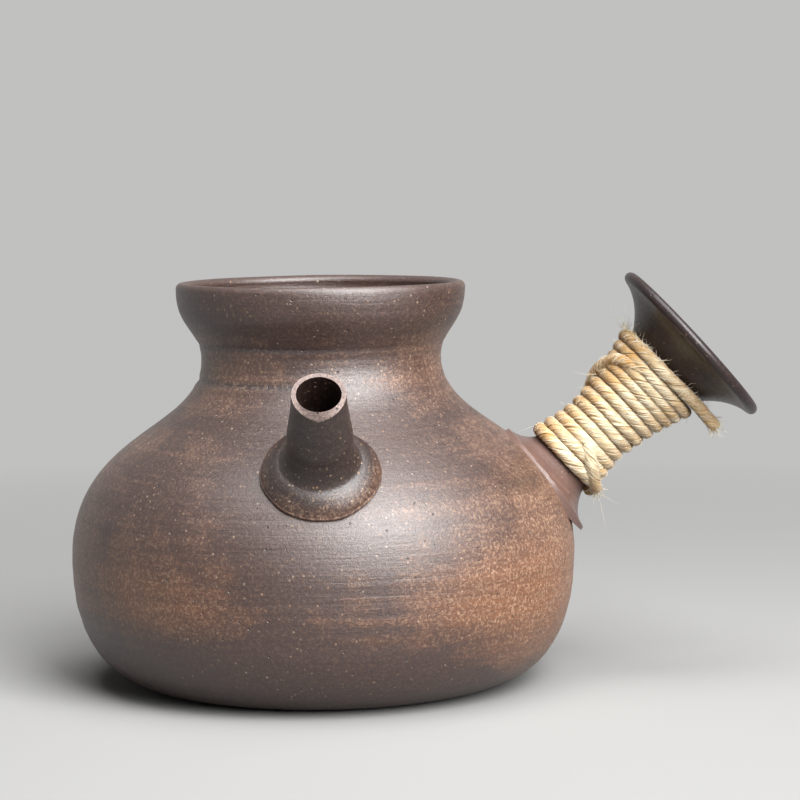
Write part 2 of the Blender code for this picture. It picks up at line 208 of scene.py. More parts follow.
# Where colours change, from one value of X or Z to another
# The side on which the rings' grooves take painted shade
RING_SHADE_SIDE = (0.012, -0.006)
HANDLE_SIDE = (0.012, 0.046)
FAR_SIDE = (-0.006, -0.038)
ABOVE_BELLY = (0.024, 0.040)
LOW_BELLY = (0.034, 0.022)
# Painted shade under the belly, darkest at the lower of these heights
UNDERSIDE_SHADE = (0.021, 0.004)
NECK_BAND_START = (0.058, 0.065)
NECK_BAND_END = (0.074, 0.070)
FLARE = (0.073, 0.079)
# Where the handle's painted shade begins, up its axis
HANDLE_SHADE_RISE = (0.004, 0.012)
# Where painted shade falls on the cord's upper and lower edges, along the handle's X
CORD_UPPER_SHADE = (-0.0020, -0.0072)
CORD_LOWER_SHADE = (0.0035, 0.0080)

# Colours
DARK_CLAY = (0.036, 0.0145, 0.0105)
LOW_WARM_CLAY = (0.168, 0.062, 0.022)
HIGH_WARM_CLAY = (0.150, 0.073, 0.045)
# The spout's clay, darker than the pot's: painted shade on the tube
SHADED_SPOUT_CLAYS = ((0.016, 0.0068, 0.0055), (0.080, 0.034, 0.021))
# Paler clay for the spout's cut lip: a painted highlight where the lip faces the light
LIT_LIP_CLAYS = ((0.13, 0.090, 0.083), (0.25, 0.19, 0.175))
HANDLE_ROOT_CLAYS = ((0.095, 0.058, 0.050), (0.140, 0.078, 0.060))
# Nearly black clay up the handle: painted shade on the grip and the bell
SHADED_HANDLE_CLAYS = ((0.012, 0.0066, 0.0064), (0.022, 0.011, 0.010))
PALE_SAND = (0.66, 0.45, 0.30)
DARK_SAND = (0.018, 0.009, 0.007)
RUSTY_GROG = (0.50, 0.26, 0.12)
CREAM_GROG = (0.66, 0.52, 0.40)
PIT_DARK = (0.016, 0.010, 0.009)
# Painted shade for the grooves of the two rings
RING_SHADE = (0.026, 0.019, 0.021)
JUTE_BROWN = (0.42, 0.26, 0.10)
JUTE_STRAW = (0.66, 0.56, 0.37)
JUTE_CREAM = (0.72, 0.66, 0.51)
JUTE_RUST = (0.36, 0.20, 0.07)
# Golden brown for patches, and for painted shade in grooves, between turns and at the edges
JUTE_GOLD = (0.42, 0.235, 0.070)
LOOSE_STRAW = (0.62, 0.50, 0.30)
LOOSE_CREAM = (0.84, 0.80, 0.68)


# Outlines: lists of (radius, height)

def between(start, end, radius_share, height_share):
    radius = start[0] + (end[0] - start[0]) * radius_share
    height = start[1] + (end[1] - start[1]) * height_share
    return (radius, height)


def curve_on(points, end, pull_shares, steps):
    """Carries an outline on to a new end along a cubic curve."""
    start = points[-1]
    start_pull = between(start, end, *pull_shares[0])
    end_pull = between(start, end, *pull_shares[1])
    for index in range(1, steps + 1):
        t = index / steps
        weights = ((1 - t) ** 3, 3 * (1 - t) ** 2 * t, 3 * (1 - t) * t ** 2, t ** 3)
        corners = (start, start_pull, end_pull, end)
        radius = sum(weight * corner[0] for weight, corner in zip(weights, corners))
        height = sum(weight * corner[1] for weight, corner in zip(weights, corners))
        points.append((radius, height))


def line_on(points, end, steps):
    curve_on(points, end, ((1 / 3, 1 / 3), (2 / 3, 2 / 3)), steps)


def offset_outline(points, distances):
    """The outline moved towards its axis by a distance at each of its points."""
    moved = []
    last = len(points) - 1
    for index, (point, distance) in enumerate(zip(points, distances)):
        before = Vector(points[max(index - 1, 0)])
        after = Vector(points[min(index + 1, last)])
        along = (after - before).normalized()
        moved.append((point[0] - along.y * distance, point[1] + along.x * distance))
    return moved


def lip_arc(outer_end, inner_end, steps, squareness=2):
    """The edge from the outer end of a wall over to the inner one, ends left out.

    A squareness of 2 makes it a half round, and more makes its top flatter.
    """
    centre = (Vector(outer_end) + Vector(inner_end)) / 2
    arm = Vector(outer_end) - centre
    onward = Vector((-arm.y, arm.x))
    points = []
    for index in range(1, steps):
        angle = math.pi * index / steps
        across = math.copysign(abs(math.cos(angle)) ** (2 / squareness), math.cos(angle))
        up = math.sin(angle) ** (2 / squareness)
        points.append(tuple(centre + arm * across + onward * up))
    return points


def radius_at(outline, height):
    for low, high in zip(outline, outline[1:]):
        if low[1] <= height <= high[1]:
            share = (height - low[1]) / (high[1] - low[1])
            return low[0] + (high[0] - low[0]) * share
    raise ValueError("the outline doesn't reach this height")


def pot_outer_outline():
    belly = (BELLY_RADIUS, BELLY_HEIGHT)
    neck = (NECK_RADIUS, NECK_HEIGHT)
    lip = (RIM_RADIUS, POT_HEIGHT - POT_LIP / 2)
    foot_out, belly_down = FOOT_PULL_SHARES
    belly_up, neck_down = SHOULDER_PULL_SHARES
    neck_up, lip_down = FLARE_PULL_SHARES
    points = [(FOOT_RADIUS, 0)]
    curve_on(points, belly, ((foot_out, 0), (1, belly_down)), POT_FOOT_STEPS)
    curve_on(points, neck, ((0, belly_up), (1, neck_down)), POT_SHOULDER_STEPS)
    curve_on(points, lip, ((0, neck_up), (1, lip_down)), POT_FLARE_STEPS)
    return points


def pot_inner_outline(outer, sink):
    distances = []
    for _, height in outer:
        thinning = max(0, height - NECK_HEIGHT) / (POT_HEIGHT - NECK_HEIGHT)
        distances.append(POT_WALL + (POT_LIP - POT_WALL) * thinning - sink)
    return offset_outline(outer, distances)


def handle_outer_outline(root_steps):
    waist = (HANDLE_WAIST_RADIUS, HANDLE_WAIST_HEIGHT)
    throat = (HANDLE_THROAT_RADIUS, HANDLE_LENGTH - HANDLE_BELL_DEPTH)
    bell = (HANDLE_BELL_RADIUS - HANDLE_WALL / 2, HANDLE_LENGTH - HANDLE_WALL)
    points = [(HANDLE_ROOT_RADIUS, -HANDLE_ROOT_DEPTH)]
    curve_on(points, waist, HANDLE_ROOT_PULL_SHARES, root_steps)
    curve_on(points, throat, HANDLE_GRIP_PULL_SHARES, HANDLE_STEPS)
    curve_on(points, bell, HANDLE_BELL_PULL_SHARES, HANDLE_STEPS)
    return points


# Small sums

def smooth_step(low, high, value):
    share = min(1, max(0, (value - low) / (high - low)))
    return share * share * (3 - 2 * share)


def hump(value, centre, width):
    """1 at the centre, falling to nothing a few widths away."""
    return math.exp(-((value - centre) / width) ** 2)


def noise_round(angle, height, lobes, height_step, seed):
    """Smooth noise from -1 to 1 on a turned surface: lobes set how fast it changes round it."""
    place = (math.cos(angle) * lobes + seed, math.sin(angle) * lobes, height / height_step)
    return noise.noise(place)


def unevenness(size, angle, height, lobes, seed):
    """Noise round a turned surface of a size given as its depth and the height it changes over."""
    depth, height_step = size
    return depth * noise_round(angle, height, lobes, height_step, seed)


def noise_along(distances, length, second, third):
    """Smooth noise from -1 to 1 at each distance along a cord."""
    return np.array([noise.noise((value / length, second, third)) for value in distances])


# Meshes

def mesh_from_grids(name, grids, wrap_rows):
    """One mesh of grids of points, whose columns run round and meet.

    The rows meet too where wrap_rows is set, and otherwise each end is closed with a cap.
    """
    corners = []
    faces = []
    for grid in grids:
        start = len(corners)
        rows, columns = grid.shape[:2]
        corners.extend(map(tuple, grid.reshape(-1, 3)))
        for row in range(rows if wrap_rows else rows - 1):
            low = start + row * columns
            high = start + (row + 1) % rows * columns
            for column in range(columns):
                beside = (column + 1) % columns
                faces.append((low + column, low + beside, high + beside, high + column))
        if not wrap_rows:
            last = start + (rows - 1) * columns
            faces.append(tuple(range(start, start + columns))[::-1])
            faces.append(tuple(range(last, last + columns)))
    mesh = bpy.data.meshes.new(name)
    mesh.from_pydata(corners, [], faces)
    return mesh


def add_object(name, mesh, place=Matrix.Identity(4)):
    thing = bpy.data.objects.new(name, mesh)
    thing.matrix_world = place
    bpy.context.scene.collection.objects.link(thing)
    return thing


def turned_object(name, outline, facets, place, shape=None):
    """An outline turned once round Z. shape moves each point of it, if given."""
    grid = np.empty((len(outline), facets, 3))
    for column in range(facets):
        angle = math.tau * column / facets
        for row, (radius, height) in enumerate(outline):
            if shape:
                radius, height = shape(angle, radius, height, row)
            grid[row, column] = (radius * math.cos(angle), radius * math.sin(angle), height)
    mesh = mesh_from_grids(name, [grid], True)
    tidy = bmesh.new()
    tidy.from_mesh(mesh)
    bmesh.ops.remove_doubles(tidy, verts=tidy.verts, dist=MERGE_DISTANCE)
    bmesh.ops.recalc_face_normals(tidy, faces=tidy.faces)
    tidy.to_mesh(mesh)
    tidy.free()
    return add_object(name, mesh, place)


def cut_with(piece, cutter, operation):
    """Applies a Boolean to the piece and removes the cutter."""
    boolean = piece.modifiers.new("cut", "BOOLEAN")
    boolean.operation = operation
    boolean.solver = "EXACT"
    boolean.object = cutter
    bpy.context.view_layer.update()
    depsgraph = bpy.context.evaluated_depsgraph_get()
    whole = piece.data
    piece.data = bpy.data.meshes.new_from_object(piece.evaluated_get(depsgraph))
    piece.modifiers.clear()
    bpy.data.meshes.remove(whole)
    bpy.data.objects.remove(cutter)


def shade_round(piece, sharp_degrees):
    piece.data.shade_smooth()
    piece.data.set_sharp_from_angle(angle=math.radians(sharp_degrees))


def surface_tree(piece):
    """A tree of the piece's faces in the row frame, for rays and nearest points."""
    corners = [piece.matrix_world @ vertex.co for vertex in piece.data.vertices]
    faces = [tuple(face.vertices) for face in piece.data.polygons]
    return BVHTree.FromPolygons(corners, faces)


# Shader nodes

def add_node(tree, kind, settings=None, inputs=None):
    """A shader node with its settings, and inputs that are values or other nodes' sockets."""
    node = tree.nodes.new(kind)
    for setting, value in (settings or {}).items():
        setattr(node, setting, value)
    for name, value in (inputs or {}).items():
        if isinstance(value, bpy.types.NodeSocket):
            tree.links.new(value, node.inputs[name])
        else:
            node.inputs[name].default_value = value
    return node


def new_material(name):
    """A new material with its node tree, its shader and the place on the object."""
    material = bpy.data.materials.new(name)
    material.use_nodes = True
    tree = material.node_tree
    place = add_node(tree, "ShaderNodeTexCoord").outputs["Object"]
    return material, tree, tree.nodes["Principled BSDF"], place


def maths(tree, operation, first, second=0.0, clamp=False):
    settings = {"operation": operation, "use_clamp": clamp}
    return add_node(tree, "ShaderNodeMath", settings, {0: first, 1: second}).outputs[0]


def product(tree, first, second):
    return maths(tree, "MULTIPLY", first, second)


def scaled(tree, vector, scale):
    inputs = {"Vector": vector, "Scale": scale}
    return add_node(tree, "ShaderNodeMapping", {"vector_type": "POINT"}, inputs).outputs[0]


def noise_value(tree, vector, scale, detail=2.0, roughness=0.5):
    inputs = {"Vector": vector, "Scale": scale, "Detail": detail, "Roughness": roughness}
    return add_node(tree, "ShaderNodeTexNoise", inputs=inputs).outputs["Fac"]


def spread(tree, value, low, high, to_low=0.0, to_high=1.0):
    """The value's run from low to high, stretched to the other run and held there."""
    inputs = {"Value": value, "From Min": low, "From Max": high, "To Min": to_low,
              "To Max": to_high}
    return add_node(tree, "ShaderNodeMapRange", inputs=inputs).outputs["Result"]


def mix_colours(tree, share, first, second, blend="MIX"):
    settings = {"data_type": "RGBA", "blend_type": blend}
    node = add_node(tree, "ShaderNodeMix", settings)
    ends = {0: share, 6: first, 7: second}
    for index, value in ends.items():
        if isinstance(value, bpy.types.NodeSocket):
            tree.links.new(value, node.inputs[index])
        elif index == 0:
            node.inputs[index].default_value = value
        else:
            node.inputs[index].default_value = (*value, 1)
    return node.outputs[2]


def cells(tree, vector, scale):
    """Distance to the nearest of many scattered points, and two random numbers for each."""
    settings = {"feature": "F1"}
    voronoi = add_node(tree, "ShaderNodeTexVoronoi", settings, {"Vector": vector, "Scale": scale})
    split = add_node(tree, "ShaderNodeSeparateColor", inputs={"Color": voronoi.outputs["Color"]})
    return voronoi.outputs["Distance"], split.outputs["Red"], split.outputs["Green"]


def weighted_sum(tree, parts):
    """The sum of values, each given with its weight."""
    total = 0.0
    for value, weight in parts:
        total = maths(tree, "ADD", total, product(tree, value, weight))
    return total


def add_bump(tree, shader, relief):
    """Bumps the shader's surface by a relief in millimetres."""
    inputs = {"Height": relief, "Distance": MM, "Strength": 1.0}
    bump = add_node(tree, "ShaderNodeBump", inputs=inputs)
    tree.links.new(bump.outputs["Normal"], shader.inputs["Normal"])


# Materials

def stoneware(name, tones, warmth, grain_share, roughness, shine, coarseness=1.0):
    """Unglazed clay with grog: dark clay that turns warm in patches, pale grains and pits.

    Its patterns lie in the piece's own frame, whose Z is the axis that it was turned on.
    """
    material, tree, shader, place = new_material(name)
    along = add_node(tree, "ShaderNodeSeparateXYZ", inputs={"Vector": place}).outputs
    dark, warm = tones(tree, along)

    wide = noise_value(tree, place, 30, 2)
    blotches = noise_value(tree, place, 150, 4, 0.65)
    rings = noise_value(tree, scaled(tree, place, (22, 22, 620)), 1, 3, 0.6)
    fine_rings = noise_value(tree, scaled(tree, place, (60, 60, 2000)), 1, 2, 0.6)
    bands = noise_value(tree, scaled(tree, place, (10, 10, 300)), 1, 2, 0.6)
    sand = noise_value(tree, place, 1500, 5, 0.78)
    fine_sand = noise_value(tree, place, 3600, 3, 0.6)

    warm_parts = ((wide, 1.0), (blotches, 0.8), (rings, 0.55), (bands, 0.45),
                  (warmth(tree, along), 1.0))
    warm_share = spread(tree, weighted_sum(tree, warm_parts), 1.14, 1.90)
    clay = mix_colours(tree, warm_share, dark, warm)

    # Sand that shows paler or darker all over
    pale_sand = mix_colours(tree, 0.42, warm, PALE_SAND)
    sand_share = product(tree, spread(tree, warm_share, 0.0, 1.0, 0.10, 0.80),
                         spread(tree, sand, 0.51, 0.57, 0.0, coarseness))
    clay = mix_colours(tree, sand_share, clay, pale_sand)
    dark_share = spread(tree, fine_sand, 0.48, 0.38, 0.0, 0.62 * coarseness)
    clay = mix_colours(tree, dark_share, clay, DARK_SAND)

    # Single grains of grog
    edge = product(tree, maths(tree, "SUBTRACT", sand, 0.5), 0.9)
    distance, chance, tone = cells(tree, place, 1500)
    ragged = maths(tree, "ADD", distance, edge)
    grain = product(tree, spread(tree, ragged, 0.28, 0.38, 1, 0),
                    spread(tree, chance, 1 - grain_share - 0.05, 1 - grain_share + 0.05))
    grog = mix_colours(tree, tone, RUSTY_GROG, CREAM_GROG)
    clay = mix_colours(tree, product(tree, grain, 0.36), clay, grog)

    # Pits, and streaks along the rings
    pit_distance, pit_chance = cells(tree, place, 560)[:2]
    pits = product(tree, spread(tree, pit_distance, 0.08, 0.15, 1, 0),
                   spread(tree, pit_chance, 0.74, 0.78))
    clay = mix_colours(tree, product(tree, pits, 0.9), clay, PIT_DARK)
    streaks = spread(tree, fine_rings, 0.30, 0.62, 0.86, 1.04)
    streak_colour = add_node(tree, "ShaderNodeCombineColor",
                             inputs={"Red": streaks, "Green": streaks, "Blue": streaks})
    clay = mix_colours(tree, 1.0, clay, streak_colour.outputs[0], "MULTIPLY")
    tree.links.new(clay, shader.inputs["Base Color"])

    rough = spread(tree, fine_sand, 0.36, 0.64, roughness - 0.09, roughness + 0.12)
    tree.links.new(rough, shader.inputs["Roughness"])
    shader.inputs["Specular IOR Level"].default_value = shine

    # Heights in millimetres
    reliefs = ((sand, 0.10 * coarseness), (fine_sand, 0.035 * coarseness), (grain, 0.02),
               (rings, 0.12), (fine_rings, 0.025), (pits, -0.12))
    add_bump(tree, shader, weighted_sum(tree, reliefs))
    return material


def ring_shade(tree, height, ring_height):
    """1 along a ring at this height, where shade is painted into the groove, fading within a
    groove's width.
    """
    off = maths(tree, "ABSOLUTE", maths(tree, "SUBTRACT", height, ring_height))
    return spread(tree, off, GROOVE_WIDTH * 1.6, GROOVE_WIDTH * 0.5, 0.0, 1.0)


def pot_tones(tree, along):
    """The pot's dark and warm clay, both darkened along its two rings on the far side: painted
    shade in the grooves.
    """
    warm = mix_colours(tree, spread(tree, along["Z"], *ABOVE_BELLY), LOW_WARM_CLAY, HIGH_WARM_CLAY)
    ring_shade_share = maths(tree, "MAXIMUM", ring_shade(tree, along["Z"], NECK_GROOVE_HEIGHT),
                  ring_shade(tree, along["Z"], SHOULDER_CREASE_HEIGHT))
    side = spread(tree, along["X"], *RING_SHADE_SIDE)
    ring_shade_share = product(tree, ring_shade_share, product(tree, side, 0.75))
    return mix_colours(tree, ring_shade_share, DARK_CLAY, RING_SHADE), mix_colours(tree, ring_shade_share, warm, RING_SHADE)


def pot_warmth(tree, along):
    """Warm on the handle's side, far left and low on the belly, cool in front and at the rim, and
    darker towards the foot, which is painted shade under the belly.
    """
    shares = [spread(tree, along["X"], *HANDLE_SIDE, -0.40, 0.36),
              spread(tree, along["X"], *FAR_SIDE, 0.0, 0.30),
              spread(tree, along["Z"], *LOW_BELLY, 0.0, 0.22),
              # painted shade: darker towards the foot
              spread(tree, along["Z"], *UNDERSIDE_SHADE, 0.0, -0.72),
              product(tree, spread(tree, along["Z"], *NECK_BAND_START, 0.0, 0.26),
                      spread(tree, along["Z"], *NECK_BAND_END)),
              spread(tree, along["Z"], *FLARE, 0.0, -0.30)]
    return weighted_sum(tree, [(share, 1.0) for share in shares])


def shaded_spout_tones(tree, along):
    return SHADED_SPOUT_CLAYS


def spout_warmth(tree, along):
    """Cool on the tube, where it paints shade, and warm towards the flange's edge."""
    squares = [product(tree, along[axis], along[axis]) for axis in ("X", "Y")]
    from_axis = maths(tree, "POWER", maths(tree, "ADD", *squares), 0.5)
    return spread(tree, from_axis, SPOUT_DOME_RADIUS, SPOUT_FLANGE_RADIUS, -0.45, 0.16)


# The cut lip's clay, paler as a painted highlight
def lit_lip_tones(tree, along):
    return LIT_LIP_CLAYS


def handle_shaded_tones(tree, along):
    """The pot's own clay at the root, nearly black further up: painted shade on the grip and the
    bell.
    """
    up = spread(tree, along["Z"], *HANDLE_SHADE_RISE)
    return [mix_colours(tree, up, root, above)
            for root, above in zip(HANDLE_ROOT_CLAYS, SHADED_HANDLE_CLAYS)]


def even_warmth(tree, along):
    return 0.0


def jute():
    """Pale straw fibres that lie along their ply, with golden patches, and golden-brown painted
    shade deep in the grooves, between turns and on the cord's upper and lower edges.
    """
    material, tree, shader, place = new_material("twisted_jute")
    lay = add_node(tree, "ShaderNodeAttribute", {"attribute_name": "lay"}).outputs["Vector"]
    # The depth attribute says how deep a point lies, for painted shade
    depth = add_node(tree, "ShaderNodeAttribute", {"attribute_name": "depth"}).outputs["Fac"]
    along = add_node(tree, "ShaderNodeSeparateXYZ", inputs={"Vector": place}).outputs
    fibres = noise_value(tree, scaled(tree, lay, (170, 3.2, 3.2)), 1, 4, 0.62)
    threads = noise_value(tree, scaled(tree, lay, (380, 10, 10)), 1, 3, 0.6)
    patches = noise_value(tree, place, 330, 3, 0.6)
    pale = mix_colours(tree, spread(tree, fibres, 0.40, 0.56), JUTE_BROWN, JUTE_STRAW)
    pale = mix_colours(tree, spread(tree, threads, 0.49, 0.58, 0.0, 0.85), pale, JUTE_CREAM)
    pale = mix_colours(tree, spread(tree, threads, 0.46, 0.38, 0.0, 0.8), pale, JUTE_RUST)
    # painted shade on the cord's upper and lower edges, where it turns from the light
    shaded_edges = maths(tree, "MAXIMUM", spread(tree, along["X"], *CORD_UPPER_SHADE, 0.0, 1.0),
                  spread(tree, along["X"], *CORD_LOWER_SHADE, 0.0, 0.8))
    golden = maths(tree, "MAXIMUM", spread(tree, patches, 0.52, 0.70, 0.0, 0.35),
                   product(tree, shaded_edges, spread(tree, patches, 0.30, 0.55, 0.45, 1.0)))
    # painted shade where the fibres lie deep in grooves and between turns
    golden = maths(tree, "MAXIMUM", golden, spread(tree, depth, 0.0, 0.9, 0.95, 0.0))
    colour = mix_colours(tree, golden, pale, JUTE_GOLD)
    tree.links.new(colour, shader.inputs["Base Color"])
    shader.inputs["Roughness"].default_value = 0.75
    shader.inputs["Specular IOR Level"].default_value = 0.3
    shader.inputs["Sheen Weight"].default_value = 0.35
    shader.inputs["Sheen Roughness"].default_value = 0.4
    add_bump(tree, shader, weighted_sum(tree, ((fibres, 0.24), (threads, 0.15))))
    return material


def loose_jute():
    material, tree, shader, place = new_material("loose_jute")
    tone = spread(tree, noise_value(tree, place, 300, 2), 0.35, 0.65)
    colour = mix_colours(tree, tone, LOOSE_STRAW, LOOSE_CREAM)
    tree.links.new(colour, shader.inputs["Base Color"])
    shader.inputs["Roughness"].default_value = 0.6
    return material


# Camera, floor and light

CAMERA_DISTANCE = 0.5632
CAMERA_HEIGHT = 0.1086
CAMERA_PITCH = math.radians(-5.08)
CAMERA_YAW = math.radians(-1.656)
CAMERA_ROLL = math.radians(-0.596)
FOCAL_PIXELS = 2704
FRAME_PIXELS = 800
LIGHT_TARGET = Vector((0, 0, 0.045))
FLOOR_RADIUS = 12.0
FLOOR_FADE_START = 0.07
FLOOR_FADE_END = 0.42
FLOOR_FACETS = 96
# What the camera, gloss and glass see, and what lights the object
FLOOR_COLOUR = (0.28, 0.278, 0.272)
FLOOR_BOUNCE_COLOUR = (0.12, 0.12, 0.12)
BACKDROP_COLOUR = (0.53, 0.53, 0.525)
BACKDROP_LIGHT_COLOUR = (0.05, 0.05, 0.051)
# Each soft lamp's name, azimuth and elevation in degrees, distance, width, height and power
LAMPS = (("key", 31, 33, 0.80, 0.52, 0.72, 19), ("top", 20, 76, 0.75, 0.70, 0.60, 8),
         ("fill", -60, 25, 1.1, 0.6, 0.6, 0.3))


def add_camera():
    data = bpy.data.cameras.new("camera")
    data.lens = data.sensor_width * FOCAL_PIXELS / FRAME_PIXELS
    camera = bpy.data.objects.new("camera", data)
    camera.matrix_world = (Matrix.Translation((0, -CAMERA_DISTANCE, CAMERA_HEIGHT))
                           @ Matrix.Rotation(CAMERA_YAW, 4, "Z")
                           @ Matrix.Rotation(math.pi / 2 + CAMERA_PITCH, 4, "X")
                           @ Matrix.Rotation(CAMERA_ROLL, 4, "Z"))
    bpy.context.scene.collection.objects.link(camera)
    bpy.context.scene.camera = camera


def add_softbox(name, azimuth, elevation, distance, width, height, power):
    """A soft lamp aimed at the pot. Azimuth runs from the camera's side towards the handle's."""
    data = bpy.data.lights.new(name, "AREA")
    data.shape = "RECTANGLE"
    data.size = width
    data.size_y = height
    data.energy = power
    lamp = bpy.data.objects.new(name, data)
    way = Vector((math.sin(math.radians(azimuth)) * math.cos(math.radians(elevation)),
                  -math.cos(math.radians(azimuth)) * math.cos(math.radians(elevation)),
                  math.sin(math.radians(elevation))))
    lamp.location = LIGHT_TARGET + way * distance
    lamp.rotation_euler = way.to_track_quat("Z", "Y").to_euler()
    bpy.context.scene.collection.objects.link(lamp)


def seen_directly(tree):
    """1 for rays that show a surface as it is: from the camera, in gloss and through glass."""
    path = add_node(tree, "ShaderNodeLightPath").outputs
    seen = maths(tree, "MAXIMUM", path["Is Camera Ray"], path["Is Glossy Ray"])
    return maths(tree, "MAXIMUM", seen, path["Is Transmission Ray"])


def add_floor():
    """A wide round floor that is pale where it is seen, and fades into the studio's pale wall."""
    floor_mesh = bpy.data.meshes.new("floor")
    disc = bmesh.new()
    bmesh.ops.create_circle(disc, cap_ends=True, segments=FLOOR_FACETS, radius=FLOOR_RADIUS)
    disc.to_mesh(floor_mesh)
    disc.free()
    floor = add_object("floor", floor_mesh)
    material, tree, shader, place = new_material("pale_floor")
    seen = seen_directly(tree)
    colour = mix_colours(tree, seen, FLOOR_BOUNCE_COLOUR, FLOOR_COLOUR)
    tree.links.new(colour, shader.inputs["Base Color"])
    shader.inputs["Roughness"].default_value = 0.9
    shader.inputs["Specular IOR Level"].default_value = 0.1
    away = add_node(tree, "ShaderNodeVectorMath", {"operation": "LENGTH"}, {0: place})
    fade = spread(tree, away.outputs["Value"], FLOOR_FADE_START, FLOOR_FADE_END)
    faded = product(tree, fade, seen)
    glow = add_node(tree, "ShaderNodeEmission", inputs={"Color": (*BACKDROP_COLOUR, 1)})
    blend = add_node(tree, "ShaderNodeMixShader", inputs={0: faded, 1: shader.outputs[0],
                                                          2: glow.outputs[0]})
    tree.links.new(blend.outputs[0], tree.nodes["Material Output"].inputs["Surface"])
    floor_mesh.materials.append(material)


def add_world():
    world = bpy.data.worlds.new("studio")
    bpy.context.scene.world = world
    world.use_nodes = True
    tree = world.node_tree
    background = tree.nodes["Background"]
    colour = mix_colours(tree, seen_directly(tree), BACKDROP_LIGHT_COLOUR, BACKDROP_COLOUR)
    tree.links.new(colour, background.inputs["Color"])


# Pieces

def pot_unevenness(angle, height):
    """How far the clay stands out from a true turned surface, as the thrower's hands left it."""
    settled = smooth_step(0, SETTLED_HEIGHT, height)
    low_down = 1 - smooth_step(*LOW_DOWN, height)
    wobble = unevenness(WOBBLE, angle, height, 0.9, 3)
    bands = (1 + 1.2 * low_down) * unevenness(BANDS, angle, height, 0.5, 11)
    lines = unevenness(LINES, angle, height, 0.7, 17)
    from_front = math.cos(angle + math.pi / 2)
    left = smooth_step(0.25, -0.55, math.cos(angle))
    groove = -GROOVE_DEPTH * hump(height, NECK_GROOVE_HEIGHT, GROOVE_WIDTH) * (0.35 + 0.65 * left)
    crease = -CREASE_DEPTH * hump(height, SHOULDER_CREASE_HEIGHT, GROOVE_WIDTH)
    crease *= 0.15 + 0.85 * max(left, smooth_step(0.2, -0.6, from_front))
    ledge_height = SHOULDER_CREASE_HEIGHT - 2 * GROOVE_WIDTH
    ledge = LEDGE_DEPTH * hump(height, ledge_height, GROOVE_WIDTH) * left
    return settled * (wobble + bands + lines + groove + crease + ledge)


def build_pot(clay):
    outer = pot_outer_outline()
    inner = pot_inner_outline(outer, 0)[::POT_INNER_STRIDE]
    lip = lip_arc(outer[-1], inner[-1], POT_LIP_STEPS, LIP_SQUARENESS)
    outline = [(0, inner[0][1])] + inner + lip[::-1] + outer[::-1] + [(0, 0)]
    inner_rows = 1 + len(inner)

    def shape(angle, radius, height, row):
        if radius == 0 or height == 0:
            return radius, height
        if row < inner_rows:
            return radius + unevenness(INNER_WOBBLE, angle, height, 0.6, 5), height
        lip_share = smooth_step(POT_HEIGHT - 3 * POT_LIP, POT_HEIGHT, height)
        radius += pot_unevenness(angle, height) * (1 - 0.85 * lip_share) - RIM_INSET * lip_share
        dip = RIM_DIP * noise_round(angle, 0, 1.3, 1, 29) * lip_share
        return radius, height + dip

    pot = turned_object("thrown_pot", outline, POT_FACETS, Matrix.Identity(4), shape)
    uncut_tree = surface_tree(pot)
    cut_with(pot, spout_hole_cutter(), "DIFFERENCE")
    shade_round(pot, 60)
    pot.data.materials.append(clay)
    return pot, uncut_tree


def shoulder_radius(height):
    """How far out the pot's wall is at a height above the belly's widest point."""
    return radius_at(pot_outer_outline()[POT_FOOT_STEPS:], height)


def spout_place():
    seat = shoulder_radius(SPOUT_AT_HEIGHT)
    bearing = Matrix.Rotation(SPOUT_BEARING, 4, "Z")
    return (bearing @ Matrix.Translation((0, -seat, SPOUT_AT_HEIGHT))
            @ Matrix.Rotation(math.pi / 2 - SPOUT_TILT, 4, "X"))


def handle_place():
    seat = shoulder_radius(HANDLE_AT_HEIGHT)
    return (Matrix.Translation((seat, 0, HANDLE_AT_HEIGHT))
            @ Matrix.Rotation(math.pi / 2 - HANDLE_TILT, 4, "Y"))


def cone_cutter(name, pins, place):
    """Round pins of one radius, each given by its own placing matrix, as one cutter."""
    mesh = bpy.data.meshes.new(name)
    shapes = bmesh.new()
    for radius, depth, matrix in pins:
        bmesh.ops.create_cone(shapes, cap_ends=True, segments=PIN_FACETS, radius1=radius,
                              radius2=radius, depth=depth, matrix=matrix)
    shapes.to_mesh(mesh)
    shapes.free()
    return add_object(name, mesh, place)


def spout_hole_cutter():
    pin = (SPOUT_HOLE_RADIUS, 4 * POT_WALL, Matrix.Identity(4))
    return cone_cutter("spout_hole_cutter", [pin], spout_place())


def build_strainer(clay):
    """The pierced dome inside the pot, over the hole behind the spout."""
    bore = STRAINER_RADIUS - STRAINER_WALL
    outer = []
    inner = []
    for index in range(STRAINER_STEPS + 1):
        angle = math.pi / 2 * index / STRAINER_STEPS
        outer.append((STRAINER_RADIUS * math.sin(angle), STRAINER_RADIUS * math.cos(angle)))
        inner.append((bore * math.sin(angle), bore * math.cos(angle)))
    place = (spout_place()
             @ Matrix.Translation((0, 0, STRAINER_RADIUS - STRAINER_RISE - POT_WALL))
             @ Matrix.Rotation(math.pi, 4, "X"))
    strainer = turned_object("pierced_strainer", outer + inner[::-1], STRAINER_FACETS, place)

    cavity_outline = pot_inner_outline(pot_outer_outline(), STRAINER_SINK)
    closed = [(0, cavity_outline[-1][1])] + cavity_outline[::-1] + [(0, cavity_outline[0][1])]
    cavity = turned_object("cavity", closed, CAVITY_FACETS, Matrix.Identity(4))
    cut_with(strainer, cavity, "INTERSECT")

    pins = []
    for ring, count in enumerate(PIERCINGS_IN_RINGS):
        for index in range(count):
            way = (Matrix.Rotation(math.tau * index / count, 4, "Z")
                   @ Matrix.Rotation(PIERCING_RING_ANGLE * ring, 4, "X")
                   @ Matrix.Translation((0, 0, STRAINER_RADIUS)))
            pins.append((PIERCING_RADIUS, 4 * STRAINER_WALL, way))
    cut_with(strainer, cone_cutter("piercing_cutter", pins, place), "DIFFERENCE")
    shade_round(strainer, 40)
    strainer.data.materials.append(clay)
    return strainer


